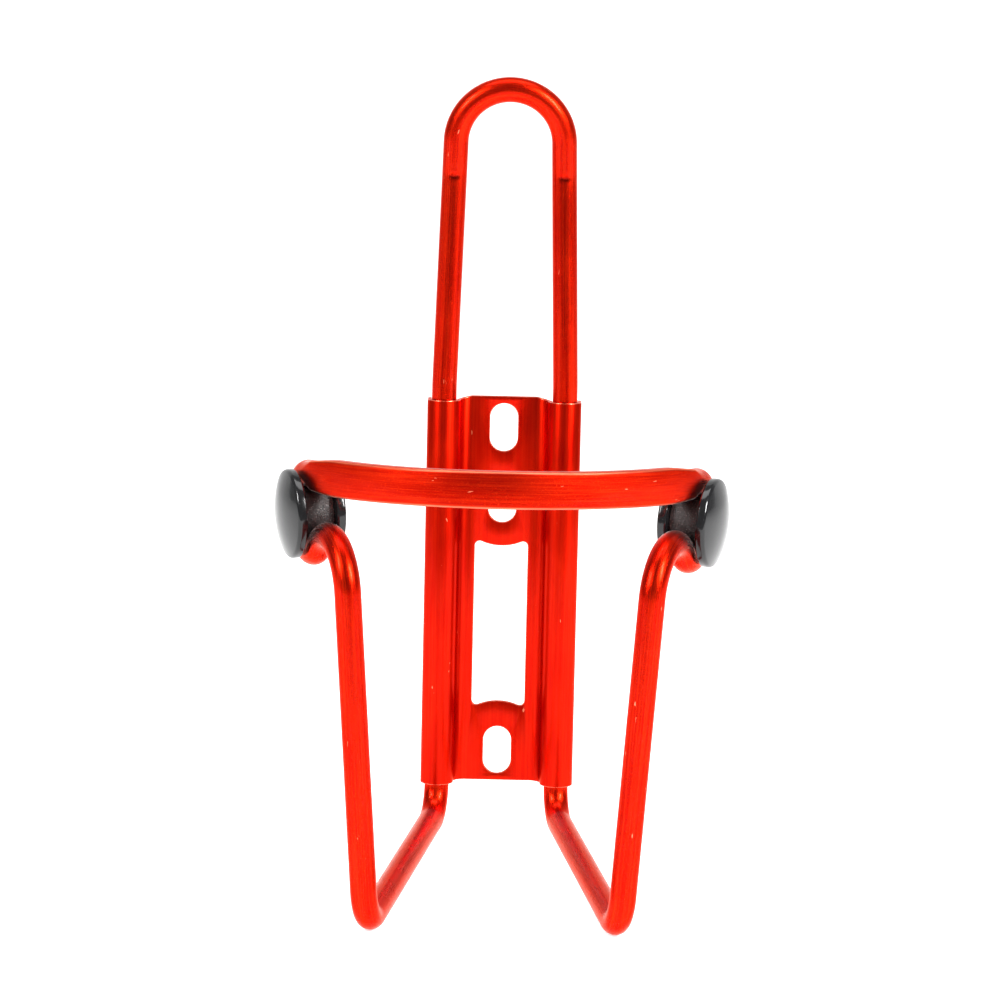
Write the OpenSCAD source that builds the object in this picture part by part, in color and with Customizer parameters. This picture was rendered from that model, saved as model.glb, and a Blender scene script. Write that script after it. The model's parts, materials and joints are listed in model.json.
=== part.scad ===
// Bent-rod water bottle cage.
// Millimetres. X to the right, -Y towards the rider's side (grip ring), +Y towards the
// bicycle frame, +Z up. The origin is on the back face of the mounting plate, midway
// between its top and bottom slots.

/* [Mounting plate] */
// Distance between the centres of the top and bottom slots
boss_pitch = 64; // [60:0.5:70]
// Height of the middle slot above the origin
mid_slot_z = 18; // [10:0.5:22]
// Width of a slot
slot_w = 5.4; // [5.2:0.1:6.5]
// Length of a slot, end to end
slot_len = 9.4; // [7:0.1:12]
// Sheet thickness
sheet_t = 0.8; // [0.6:0.1:1.5]
// Top edge of the plate
plate_top = 38.1; // [36:0.1:42]
// Bottom edge of the plate
plate_bottom = -38.1; // [-42:0.1:-36]
// How much lower the channels end at the top than the panel
channel_drop = 0.5; // [0:0.1:2]
// Inside radius of the bend between the panel and a channel
web_bend_r = 2.2; // [1:0.1:2.6]
// How far the outer flange of a channel stops in front of the panel's back face
flange_gap = 0.6; // [0.2:0.1:2]
// Width of the window
window_w = 10.3; // [8:0.1:11]
// Top corners of the window
window_top = 10.1; // [5:0.1:11]
// Bottom corners of the window
window_bottom = -23.6; // [-26:0.1:-20]
// Radius of the curved ends of the window
window_end_r = 10; // [8:0.5:20]

/* [Rod] */
// Rod diameter
rod_d = 4.8; // [4:0.1:6]
// Distance of the rods from the middle plane, inside the channels
rod_x = 11.7; // [10:0.1:14]
// Depth of the rod centres in front of the panel's back face
rod_depth = 3.4; // [3.2:0.1:5]
// Clearance between a rod and its channel
channel_clear = 0.02; // [0:0.01:0.1]
// Height at which the upper and the lower rod end inside the channels
joint_z = 2; // [-20:1:20]
// Gap left between the two rod ends
joint_gap = 1; // [0:0.5:4]

/* [Upper loop] */
// Centreline radius of the loop at the top
loop_r = 10.4; // [9:0.1:12]
// Angle by which the two rods lean towards each other
loop_converge = 1.6; // [0:0.1:3]
// Height of the bend where the loop leans forward
loop_bend_z = 81; // [75:0.5:86]
// Forward lean of the loop
loop_lean = 8; // [0:1:20]
// Height of the centreline at the top of the loop
loop_top = 97.6; // [90:0.1:105]
// Radius of the two small lean bends
loop_bend_r = 14; // [8:1:30]
// Depth of the press marks
mark_depth = 0.3; // [0:0.05:0.6]

/* [Lower rod] */
// Height of the bend below the plate
base_z = -44.2; // [-50:0.1:-42]
// Centreline radius of the bend below the plate
base_bend_r = 6.6; // [5:0.1:12]
// Corner at the front: sideways
corner_x = 22.7; // [20:0.1:26]
// Corner at the front: depth in front of the origin
corner_depth = 71.3; // [66:0.1:76]
// Corner at the front: height
corner_z = -49.4; // [-55:0.1:-45]
// Centreline radius of the corner bend
corner_r = 6.2; // [5:0.1:12]

/* [Grip ring] */
// Centreline radius of the ring
ring_r = 36.9; // [34:0.1:39]
// Depth of the ring's centre, which is the bottle's axis
ring_depth = 40.5; // [39:0.1:43]
// Height of the ring's centre
ring_z = 28.9; // [24:0.1:34]
// Upward tilt of the front of the ring
ring_tilt = 2.6; // [0:0.1:12]
// Angle in front of the side at which the ring passes over its spool
ring_start = 19.4; // [8:0.1:24]
// Height of the flattened band
band_h = 6.6; // [5:0.1:8]
// Thickness of the flattened band
band_t = 2.9; // [2:0.1:4]
// Angle over which the round rod flattens into the band
flatten_angle = 20; // [6:1:25]

/* [Hooks] */
// Outward lean of the plane of each rod loop
hook_lean = 3.2; // [0:0.1:12]
// How far past the lowest point the rod follows the spool
hook_wrap = 39.5; // [20:0.5:60]
// Reach of the return bend, from the spool to its corner point
hook_reach = 20.2; // [14:0.1:24]

/* [Spools] */
// Radius of the spool's barrel
barrel_r = 4.7; // [3.5:0.1:5.5]
// Running clearance between the barrel and the rod loop
barrel_clear = 0.08; // [0.02:0.01:0.1]
// Length of the barrel between its two discs
barrel_len = 5.9; // [5.4:0.1:7]
// Radius of the outer disc
cap_r = 8.1; // [7:0.1:10]
// Thickness of the outer disc's rim
cap_rim = 1.8; // [1:0.1:3]
// Height of the dome on the outer disc
cap_dome = 1.4; // [0.5:0.1:4]
// Radius of the inner disc
button_r = 6.6; // [5.5:0.1:8]
// Thickness of the inner disc
button_t = 1.8; // [1:0.1:3]
// Radius of the snap peg on the inner disc
peg_r = 1.9; // [1.5:0.1:2.5]
// Length of the snap peg
peg_len = 4.6; // [3:0.1:6]
// Depth of the bore for the peg
bore_depth = 5.2; // [3.5:0.1:7]

/* [Hidden] */
$fn = 64;
rod_r = rod_d / 2;
rod_y = -rod_depth;
channel_r = rod_r + channel_clear;
// How far straight bars reach into bends, and how much thinner they are there
lap = 0.1;
step = 0.01;

// The ring's own directions: sideways, forward along the ring, and its normal
side = [1, 0, 0];
ahead = [0, -cos(ring_tilt), sin(ring_tilt)];
normal = [0, sin(ring_tilt), cos(ring_tilt)];
ring_c = [0, -ring_depth, ring_z];

// The right spool: the rod passes over it at ring_end, going along run
loop_rho = barrel_r + barrel_clear + rod_r;
out = cos(ring_start) * side + sin(ring_start) * ahead;
run = -sin(ring_start) * side + cos(ring_start) * ahead;
ring_end = ring_c + ring_r * out;
rise = cos(hook_lean) * normal + sin(hook_lean) * out;
spool_axis = cos(hook_lean) * out - sin(hook_lean) * normal;
spool_c = ring_end - loop_rho * rise;

// The return bend and the straight parts below it
hook_end = spool_c + loop_rho * (sin(hook_wrap) * run - cos(hook_wrap) * rise);
hook_dir = cos(hook_wrap) * run + sin(hook_wrap) * rise;
hook_corner = hook_end + hook_reach * hook_dir;
front_corner = [corner_x, -corner_depth, corner_z];
base_corner = [rod_x, rod_y, base_z];
rod_end = [rod_x, rod_y, joint_z - joint_gap];
hook_turn = angle_between(hook_dir, front_corner - hook_corner);
hook_r = (hook_reach - 4 * lap) / tan(hook_turn / 2);

// ---- Vectors ----

function unit(v) = v / norm(v);
function angle_between(a, b) = acos(max(-1, min(1, unit(a) * unit(b))));

// A direction at right angles to d
function across(d) = unit(cross(d, abs(d[0]) < 0.8 ? [1, 0, 0] : [0, 1, 0]));

// How far from corner b a bend of radius r begins
function cutback(a, b, c, r) = r * tan(angle_between(b - a, c - b) / 2);

// ---- Building blocks ----

// Moves the origin to p, with X along x and Z along z
module at(p, x, z) {
    y = cross(z, x);
    multmatrix([[x[0], y[0], z[0], p[0]],
                [x[1], y[1], z[1], p[1]],
                [x[2], y[2], z[2], p[2]],
                [0, 0, 0, 1]])
        children();
}

// Round bar from p to q, lapping into what joins it at each end
module bar(p, q) {
    d = unit(q - p);
    at(p - lap * d, across(d), d)
        cylinder(r = rod_r - step, h = norm(q - p) + 2 * lap);
}

// Bend in the corner b of the line a-b-c
module bend(a, b, c, r) {
    from = unit(a - b);
    to = unit(c - b);
    turn = angle_between(-from, to);
    start = b + cutback(a, b, c, r) * from;
    inward = unit(to + from);
    centre = b + r / cos(turn / 2) * inward;
    x = unit(start - centre);
    z = unit(cross(x, -from));
    at(centre, x, z)
        rotate_extrude(angle = turn)
            translate([r, 0])
                circle(r = rod_r);
}

// Bars and bends through the points, with a bend radius for each inner point
module rod_run(points, radii) {
    last = len(points) - 1;
    for (i = [0 : last - 1]) {
        d = unit(points[i + 1] - points[i]);
        from_cut = i == 0 ? 0
            : cutback(points[i - 1], points[i], points[i + 1], radii[i]);
        to_cut = i == last - 1 ? 0
            : cutback(points[i], points[i + 1], points[i + 2], radii[i + 1]);
        if (norm(points[i + 1] - points[i]) - from_cut - to_cut > 0.01)
            bar(points[i] + from_cut * d, points[i + 1] - to_cut * d);
    }
    for (i = [1 : last - 1])
        bend(points[i - 1], points[i], points[i + 1], radii[i]);
}

// Both sides of a symmetrical shape
module both_sides() {
    children();
    mirror([1, 0, 0])
        children();
}

// Bar section w high and t thick with fully rounded edges
module rounded_section(w, t) {
    if (w - t > 0.01) {
        square([t, w - t], center = true);
        translate([0, (w - t) / 2])
            circle(r = t / 2);
        translate([0, (t - w) / 2])
            circle(r = t / 2);
    } else {
        circle(r = t / 2);
    }
}

// ---- Mounting plate ----

// Upright slot through the panel
module slot(z) {
    straight = slot_len - slot_w;
    translate([0, 1, z])
        rotate([90, 0, 0])
            linear_extrude(height = 4)
                union() {
                    square([slot_w, straight], center = true);
                    translate([0, straight / 2])
                        circle(r = slot_w / 2);
                    translate([0, -straight / 2])
                        circle(r = slot_w / 2);
                }
}

// Rounded end tab of the window, seen from the front: kept material
module window_tab(z_corner, direction) {
    sag = window_end_r - sqrt(pow(window_end_r, 2) - pow(window_w / 2, 2));
    translate([0, z_corner + direction * (window_end_r - sag)])
        circle(r = window_end_r);
}

module window() {
    translate([0, 1, 0])
        rotate([90, 0, 0])
            linear_extrude(height = 4)
                difference() {
                    translate([-window_w / 2, window_bottom])
                        square([window_w, window_top - window_bottom]);
                    window_tab(window_top, 1);
                    window_tab(window_bottom, -1);
                }
}

// What the sloping cut takes off a channel's top end
module channel_end() {
    panel_x = rod_x - channel_r - sheet_t - web_bend_r;
    translate([0, 1, plate_top])
        rotate([90, 0, 0])
            linear_extrude(height = 12)
                polygon([[panel_x, 0],
                         [panel_x + web_bend_r, -channel_drop],
                         [rod_x + 6, -channel_drop],
                         [rod_x + 6, 1],
                         [panel_x, 1]]);
}

// Half of the folded section: panel, web and channel, X to the right and Y as the part
module half_section() {
    outer = channel_r + sheet_t;
    web_in = rod_x - outer;
    bend_x = web_in - web_bend_r;
    bend_y = -sheet_t - web_bend_r;
    translate([-0.01, -sheet_t])
        square([bend_x + 0.01, sheet_t]);
    intersection() {
        difference() {
            translate([bend_x, bend_y])
                circle(r = web_bend_r + sheet_t);
            translate([bend_x, bend_y])
                circle(r = web_bend_r);
        }
        translate([bend_x, bend_y])
            square(web_bend_r + sheet_t + 1);
    }
    translate([web_in, rod_y])
        square([sheet_t, bend_y - rod_y]);
    intersection() {
        difference() {
            translate([rod_x, rod_y])
                circle(r = outer);
            translate([rod_x, rod_y])
                circle(r = channel_r);
        }
        translate([rod_x - outer - 1, rod_y - outer - 1])
            square([2 * outer + 2, outer + 1]);
    }
    translate([rod_x + channel_r, rod_y])
        square([sheet_t, rod_depth - flange_gap]);
}

module back_plate() {
    color([0.80, 0.07, 0.03])
        difference() {
            translate([0, 0, plate_bottom])
                linear_extrude(height = plate_top - plate_bottom)
                    union() {
                        half_section();
                        mirror([1, 0])
                            half_section();
                    }
            slot(boss_pitch / 2);
            slot(mid_slot_z);
            slot(-boss_pitch / 2);
            window();
            both_sides()
                channel_end();
        }
}

// ---- Upper loop ----

module upper_loop() {
    up = [0, -sin(loop_lean), cos(loop_lean)];
    // Loop centre, and where its arc begins on the right
    rise_above_bend = (loop_top - loop_bend_z) / cos(loop_lean);
    centre = [0, rod_y, loop_bend_z] + (rise_above_bend - loop_r) * up;
    arc_start = centre
        + loop_r * (cos(loop_converge) * side + sin(loop_converge) * up);
    bend_x = arc_start[0]
        + (rise_above_bend - loop_r) * tan(loop_converge);
    lean_bend = [bend_x, rod_y, loop_bend_z];
    plate_exit_z = loop_bend_z - (rod_x - bend_x) / tan(loop_converge);
    points = [[rod_x, rod_y, joint_z],
              [rod_x, rod_y, plate_exit_z],
              lean_bend,
              arc_start];
    color([0.83, 0.08, 0.03])
        difference() {
            union() {
                both_sides()
                    rod_run(points, [0, 60, loop_bend_r, 0]);
                at(centre, side, cross(side, up))
                    rotate([0, 0, loop_converge])
                        rotate_extrude(angle = 180 - 2 * loop_converge)
                            translate([loop_r, 0])
                                circle(r = rod_r);
            }
            both_sides()
                press_mark([bend_x, rod_y, loop_bend_z - 1.2]);
        }
}

// Shallow mark pressed into the front of a rod
module press_mark(p) {
    mark_r = 2.6;
    translate(p + [0, mark_depth - rod_r - mark_r, 0])
        rotate([0, 90, 0])
            cylinder(r = mark_r, h = 2 * rod_r, center = true);
}

// ---- Lower rod with hooks and grip ring ----

// Rod wrapped round the spool: over the top, down the back and under
module spool_wrap() {
    at(spool_c, rise, unit(cross(rise, -run)))
        rotate_extrude(angle = 180 + hook_wrap)
            translate([loop_rho, 0])
                circle(r = rod_r);
}

// Thin slice of the ring at angle a from the side
module ring_slice(a, w, t) {
    radial = cos(a) * side + sin(a) * ahead;
    at(ring_c + ring_r * radial, radial, cross(radial, normal))
        linear_extrude(height = step, center = true)
            rounded_section(w, t);
}

// Height and thickness of the section at the share k of the flattening
function flat_size(k, to) = rod_d + (to - rod_d) * k * k * (3 - 2 * k);

// Round rod flattening into the band, in pieces that lap into each other
module flatten_run() {
    steps = 3;
    lap_angle = 0.2;
    for (i = [0 : steps - 1]) {
        k = i / steps;
        n = (i + 1) / steps;
        last = i == steps - 1 ? 1 : 0;
        hull() {
            ring_slice(ring_start + flatten_angle * k - lap_angle,
                       flat_size(k, band_h) - 12 * step,
                       flat_size(k, band_t) - 12 * step,
                       $fn = 48);
            ring_slice(ring_start + flatten_angle * n + lap_angle * last,
                       flat_size(n, band_h) - 12 * step * last,
                       flat_size(n, band_t) - 12 * step * last,
                       $fn = 48);
        }
    }
}

module cage_rod() {
    band_start = ring_start + flatten_angle;
    color([0.83, 0.08, 0.03])
        union() {
            both_sides() {
                spool_wrap();
                rod_run([hook_end, hook_corner, front_corner, base_corner, rod_end],
                        [0, hook_r, corner_r, base_bend_r, 0]);
                flatten_run();
            }
            at(ring_c, side, cross(side, ahead))
                rotate([0, 0, band_start])
                    rotate_extrude(angle = 180 - 2 * band_start)
                        translate([ring_r, 0])
                            rounded_section(band_h, band_t);
        }
}

// ---- Spools ----

// Round disc from z0 to z0 + t with rounded edges
module soft_disc(radius, z0, t, edge) {
    translate([0, 0, z0])
        rotate_extrude()
            union() {
                square([radius - edge, t]);
                translate([0, edge])
                    square([radius, t - 2 * edge]);
                translate([radius - edge, edge])
                    circle(r = edge);
                translate([radius - edge, t - edge])
                    circle(r = edge);
            }
}

// Domed disc on z0: a wide rounded edge runs smoothly into a shallow dome
module domed_disc(radius, z0, t, h, low, high) {
    a = radius - high;
    d = h + high;
    big = (a * a + d * d - high * high) / (2 * (d - high));
    tip = asin(a / (big - high));
    translate([0, 0, z0])
        rotate_extrude()
            polygon(concat(
                [[0, 0]],
                [for (i = [0:5]) let (q = -90 + 18 * i)
                    [radius - low + low * cos(q), low + low * sin(q)]],
                [for (i = [0:8]) let (q = (90 - tip) * i / 8)
                    [a + high * cos(q), t - high + high * sin(q)]],
                [for (i = [1:16]) let (q = tip * (1 - i / 16))
                    [big * sin(q), t + h - big + big * cos(q)]]));
}

// Shallow dome of height h on a round base of radius a at z0
module dome(a, z0, h) {
    r = (a * a + h * h) / (2 * h);
    intersection() {
        translate([0, 0, z0 + h - r])
            sphere(r = r);
        translate([0, 0, z0 - 0.2])
            cylinder(r = a, h = h + 0.4);
    }
}

// Outer disc and barrel, outward along +Z, origin at the barrel's middle
module cap_shape() {
    half = barrel_len / 2;
    difference() {
        union() {
            translate([0, 0, -half])
                cylinder(r = barrel_r, h = barrel_len + 0.5);
            domed_disc(cap_r, half, cap_rim, cap_dome, 0.3, 0.8);
        }
        translate([0, 0, -half - 1])
            cylinder(r = peg_r, h = bore_depth + 1);
    }
}

// Inner disc with its snap peg
module button_shape() {
    half = barrel_len / 2;
    tip = 0.8;
    play = 0.05;
    translate([0, 0, -half - button_t])
        mirror([0, 0, 1])
            dome(button_r - 0.6, 0, 0.5);
    soft_disc(button_r, -half - button_t, button_t, 0.5);
    translate([0, 0, -half - 0.5])
        cylinder(r = peg_r - play, h = peg_len + 0.5 - tip);
    translate([0, 0, -half + peg_len - tip])
        cylinder(r1 = peg_r - play, r2 = peg_r - 0.6, h = tip);
}

// Places a spool piece on the right-hand hook
module on_spool() {
    at(spool_c, run, spool_axis)
        children();
}

module right_cap() {
    color([0.03, 0.03, 0.035])
        on_spool()
            cap_shape();
}

module right_button() {
    color([0.04, 0.04, 0.045])
        on_spool()
            button_shape();
}

module left_cap() {
    color([0.03, 0.03, 0.035])
        mirror([1, 0, 0])
            on_spool()
                cap_shape();
}

module left_button() {
    color([0.04, 0.04, 0.045])
        mirror([1, 0, 0])
            on_spool()
                button_shape();
}

back_plate();
upper_loop();
cage_rod();
left_cap();
left_button();
right_cap();
right_button();
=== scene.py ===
"""Bent-rod bottle cage: the detailed model and its studio."""

import json
import math

import bmesh
import bpy
from bpy.props import FloatProperty, FloatVectorProperty, IntProperty, PointerProperty
from mathutils import Matrix, Vector


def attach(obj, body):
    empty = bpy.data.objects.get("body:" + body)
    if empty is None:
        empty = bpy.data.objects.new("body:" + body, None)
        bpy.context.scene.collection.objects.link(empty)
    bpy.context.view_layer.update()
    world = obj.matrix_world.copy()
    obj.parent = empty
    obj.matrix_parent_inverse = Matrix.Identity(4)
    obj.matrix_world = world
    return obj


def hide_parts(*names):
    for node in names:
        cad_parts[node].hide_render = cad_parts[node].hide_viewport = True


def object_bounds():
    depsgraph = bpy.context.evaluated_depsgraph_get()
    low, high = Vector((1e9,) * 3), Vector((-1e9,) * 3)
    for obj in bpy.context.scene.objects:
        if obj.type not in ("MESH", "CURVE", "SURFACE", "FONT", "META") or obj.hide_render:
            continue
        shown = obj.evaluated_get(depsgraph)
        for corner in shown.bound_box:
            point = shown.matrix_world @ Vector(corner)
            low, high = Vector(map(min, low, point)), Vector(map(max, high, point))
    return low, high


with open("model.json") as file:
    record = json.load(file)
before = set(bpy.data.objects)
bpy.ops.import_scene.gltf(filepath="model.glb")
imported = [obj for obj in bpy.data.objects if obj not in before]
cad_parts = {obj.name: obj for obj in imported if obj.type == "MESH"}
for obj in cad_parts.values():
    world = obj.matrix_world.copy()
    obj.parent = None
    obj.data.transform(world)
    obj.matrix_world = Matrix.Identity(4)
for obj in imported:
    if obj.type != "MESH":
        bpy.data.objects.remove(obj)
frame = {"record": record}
CAD_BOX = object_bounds()

bl_info = {
    "name": "Bottle Cage",
    "version": (1, 0, 0),
    "blender": (4, 5, 0),
    "location": "View3D > Sidebar > Bottle Cage",
    "description": "Builds a bent-rod bottle cage with its folded plate, rods and spools",
    "category": "Add Mesh",
}

MM = 0.001


# ---- sizes and colours


def length(name, description, millimetres):
    """A length setting, given in millimetres and kept in metres."""
    return FloatProperty(
        name=name,
        description=description,
        default=millimetres * MM,
        unit="LENGTH",
        subtype="DISTANCE",
        precision=5,
    )


def angle(name, description, degrees):
    """An angle setting, given in degrees and kept in radians."""
    return FloatProperty(
        name=name,
        description=description,
        default=math.radians(degrees),
        unit="ROTATION",
        subtype="ANGLE",
    )


def colour(name, description, rgb):
    """A linear colour setting."""
    return FloatVectorProperty(
        name=name,
        description=description,
        default=rgb,
        min=0.0,
        max=1.0,
        subtype="COLOR",
    )


def position(name, description, metres):
    """A place in the row frame."""
    return FloatVectorProperty(
        name=name,
        description=description,
        default=metres,
        subtype="XYZ",
        unit="LENGTH",
        precision=5,
    )


class PlateSizes(bpy.types.PropertyGroup):
    """The folded mounting plate."""

    slot_pitch: length("Slot distance", "Between the centres of the top and bottom slots", 64.0)
    middle_slot: length("Middle slot", "Height of the middle slot's centre", 18.0)
    slot_width: length("Slot width", "Width of each slot", 5.4)
    slot_length: length("Slot length", "Each slot from end to end", 9.4)
    sheet: length("Sheet", "Thickness of the sheet", 0.8)
    top: length("Top edge", "Height of the plate's top edge", 38.1)
    bottom: length("Bottom edge", "Height of the plate's bottom edge", -38.1)
    channel_drop: length("Channel drop", "How much lower the channels end at the top", 0.5)
    web_bend: length("Web bend", "Inside radius between panel and channel", 2.2)
    flange_gap: length("Flange gap", "From the flange's edge to the panel's back face", 0.6)
    window_width: length("Window width", "Width of the window", 10.3)
    window_top: length("Window top", "Height of the window's top corners", 10.1)
    window_bottom: length("Window bottom", "Height of the window's bottom corners", -23.6)
    window_end: length("Window end radius", "Radius of the window's curved ends", 10.0)
    corner: length("Window corner", "Radius of the window's corners", 0.9)
    edge: length("Edge", "Width of the softened cut edges", 0.14)


class RodSizes(bpy.types.PropertyGroup):
    """The two bent rods."""

    diameter: length("Diameter", "Diameter of the rod", 4.8)
    spread: length("Spread", "From the middle plane to a rod in its channel", 11.7)
    depth: length("Depth", "From the panel's back face to the rod's centre", 3.4)
    clearance: length("Channel clearance", "Between a rod and its channel", 0.02)
    joint: length("Joint height", "Where the upper and lower rods end", 2.0)
    joint_gap: length("Joint gap", "Between the two rods' ends", 1.0)
    loop_radius: length("Loop radius", "Centreline radius of the upper loop", 10.4)
    loop_converge: angle("Loop lean-in", "How far the upper rods lean together", 1.6)
    loop_bend: length("Loop bend height", "Where the loop leans forward", 81.0)
    loop_lean: angle("Loop lean", "Forward lean of the loop", 8.0)
    loop_top: length("Loop top", "Height of the loop's centreline", 97.6)
    loop_bend_radius: length("Loop bend radius", "Radius of the lean bends", 14.0)
    mark_reach: length("Mark size", "Size of the press marks", 1.2)
    mark_depth: length("Mark depth", "Depth of the press marks", 0.32)
    base_height: length("Base height", "Height of the bend below the plate", -44.2)
    base_bend: length("Base bend", "Centreline radius below the plate", 6.6)
    corner: position(
        "Front corner", "Where the base and the right leg would meet", (0.0227, -0.0713, -0.0494)
    )
    corner_bend: length("Corner bend", "Centreline radius of the front corner", 6.2)
    ring_radius: length("Ring radius", "Centreline radius of the grip ring", 36.9)
    ring_depth: length("Ring depth", "From the plate to the ring's centre", 40.5)
    ring_height: length("Ring height", "Height of the ring's centre", 28.9)
    ring_tilt: angle("Ring tilt", "Upward tilt of the ring's front", 2.6)
    ring_start: angle("Ring start", "Where the rod passes over its spool", 19.4)
    band_height: length("Band height", "Height of the flattened band", 6.6)
    band_corner: length("Band corner", "Radius of the flattened band's corners", 0.6)
    band_thickness: length("Band thickness", "Thickness of the flattened band", 2.9)
    flatten: angle("Flattening", "Over which the round rod flattens", 20.0)
    hook_lean: angle("Hook lean", "Outward lean of each rod loop", 3.2)
    hook_wrap: angle("Hook wrap", "How far past its lowest point the loop goes", 39.5)
    hook_reach: length("Hook reach", "From the spool to the return bend's corner", 20.2)
    hook_straight: length("Hook straight", "Straight stretch before the return bend", 0.4)
    sides: IntProperty(
        name="Sides", description="Sides of the rod's section", default=48, min=12
    )


class SpoolSizes(bpy.types.PropertyGroup):
    """The plastic spools."""

    barrel: length("Barrel radius", "Radius of the barrel", 4.7)
    clearance: length("Barrel clearance", "Between the barrel and the rod loop", 0.08)
    barrel_length: length("Barrel length", "Between the two discs", 5.9)
    cap: length("Cap radius", "Radius of the outer disc", 8.1)
    cap_rim: length("Cap rim", "Thickness of the outer disc's rim", 1.8)
    cap_dome: length("Cap dome", "Height of the outer disc's dome", 1.4)
    cap_edge: length("Cap edge", "Radius of the edge between rim and dome", 0.8)
    cap_inner: length("Cap inner edge", "Radius of the rim's inner edge", 0.3)
    button: length("Button radius", "Radius of the inner disc", 6.6)
    button_rim: length("Button rim", "Thickness of the inner disc", 1.8)
    button_dome: length("Button dome", "Height of the inner disc's dome", 0.5)
    edge: length("Edge", "Radius of the inner disc's edges", 0.5)
    bore: length("Bore", "Radius of the bore for the peg", 1.9)
    bore_depth: length("Bore depth", "Depth of the bore", 5.2)
    peg: length("Peg radius", "Radius of the snap peg", 1.85)
    peg_length: length("Peg length", "Length of the snap peg", 4.6)


class Finishes(bpy.types.PropertyGroup):
    """Colours of the materials."""

    red: colour("Anodised red", "Main red of the rods and the sheet", (0.54, 0.0085, 0.0012))
    deep_red: colour("Deep red", "Darker red in the dye", (0.41, 0.0028, 0.0004))
    # Pale colour of wear and rubs, also used for the painted highlight on the cut edges and along
    # the band's corners
    wear_and_highlight: colour("Worn edge", "Cut and rubbed edges", (0.95, 0.24, 0.13))
    # Lighter colour of the grain, also used for painted glints: sparkle on the etched grain and
    # highlight streaks on the brushed band
    grain_and_painted_glint: colour("Glint", "Fresh metal in the brushed grain", (0.90, 0.040, 0.005))
    rim: colour("Rim tint", "Tint of reflections at grazing angles", (0.97, 0.50, 0.42))
    black: colour("Black plastic", "Discs of the spools", (0.0045, 0.0045, 0.005))
    barrel: colour("Barrel", "Grained barrel of the spools", (0.030, 0.024, 0.022))
    mark: colour("Press mark", "Shaded hollow of the press marks", (0.10, 0.002, 0.001))
    swirl: colour("Swirl", "Faint swirls in the plastic", (0.010, 0.010, 0.011))
    dust: colour("Dust", "Dust on the discs", (0.16, 0.155, 0.15))
    fleck: colour("Fleck", "Bright specks in the barrel's grain", (0.34, 0.30, 0.28))
    floor: colour("Floor", "Studio floor", (0.86, 0.86, 0.86))
    pale_floor: colour("Floor mottle", "Palest parts of the floor", (0.9, 0.9, 0.9))


class CameraSettings(bpy.types.PropertyGroup):
    """Place and lens of the camera."""

    place: position("Place", "Position of the camera", (0.0007, -0.700, 0.1194))
    pitch: angle("Pitch", "Downward tilt", 7.64)
    yaw: angle("Yaw", "Turn to the right", -0.11)
    roll: angle("Roll", "Turn about the view", 1.27)
    lens: FloatProperty(
        name="Lens",
        description="Focal length in millimetres",
        default=130.33,
        subtype="DISTANCE_CAMERA",
    )
    shift: FloatProperty(name="Shift", description="Upward shift of the frame", default=-0.0402)


# ---- helpers for meshes


def body_of_node(node):
    """The body that a CAD node belongs to."""
    for body, nodes in frame["record"]["behaviour"]["bodies"].items():
        if node in nodes:
            return body
    raise ValueError(f"no body holds {node}")


def add_object(name, mesh):
    """Links a new object at the origin."""
    obj = bpy.data.objects.new(name, mesh)
    bpy.context.scene.collection.objects.link(obj)
    return obj


def settle(obj, name):
    """Turns an object with modifiers into a plain mesh piece of that name."""
    bpy.context.view_layer.update()
    graph = bpy.context.evaluated_depsgraph_get()
    mesh = bpy.data.meshes.new_from_object(obj.evaluated_get(graph), depsgraph=graph)
    mesh.name = name
    old = obj.data
    bpy.data.objects.remove(obj)
    if old.users == 0:
        bpy.data.meshes.remove(old)
    return add_object(name, mesh)


def finish_piece(obj, node):
    """Puts a finished piece in place of its CAD node."""
    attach(obj, body_of_node(node))
    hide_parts(node)


def close(work, mesh):
    """Writes the work into a mesh with every face pointing outwards."""
    bmesh.ops.recalc_face_normals(work, faces=work.faces)
    work.to_mesh(mesh)
    work.free()
    return mesh


def shade(mesh, degrees):
    """Smooth shading with sharp edges kept over an angle."""
    mesh.polygons.foreach_set("use_smooth", [True] * len(mesh.polygons))
    mesh.set_sharp_from_angle(angle=math.radians(degrees))
    mesh.update()


# ---- helpers for nodes


class Sheet:
    """Adds nodes to a tree and links them, column by column."""

    def __init__(self, tree):
        self.tree = tree
        self.count = 0

    def add(self, kind, label="", **settings):
        node = self.tree.nodes.new(kind)
        node.location = (self.count % 8 * 220, -(self.count // 8) * 260)
        self.count += 1
        node.label = label
        for key, value in settings.items():
            setattr(node, key, value)
        return node

    def link(self, source, target):
        self.tree.links.new(source, target)

    def feed(self, node, *values):
        """Fills a node's first inputs, each from a socket or with a number."""
        for socket, value in zip(node.inputs, values):
            if isinstance(value, bpy.types.NodeSocket):
                self.link(value, socket)
            else:
                socket.default_value = value
        return node

    def math(self, operation, *values):
        node = self.add("ShaderNodeMath", operation=operation)
        return self.feed(node, *values).outputs[0]

    def vector(self, operation, *values, scale=None):
        node = self.add("ShaderNodeVectorMath", operation=operation)
        self.feed(node, *values)
        if scale is not None:
            self.link(scale, node.inputs["Scale"])
        return node.outputs["Value" if operation == "LENGTH" else "Vector"]

    def split(self, vector):
        """The three parts of a vector."""
        return self.feed(self.add("ShaderNodeSeparateXYZ"), vector).outputs

    def join(self, x, y, z):
        """A vector from three parts."""
        return self.feed(self.add("ShaderNodeCombineXYZ"), x, y, z).outputs[0]


# ---- materials


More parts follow.
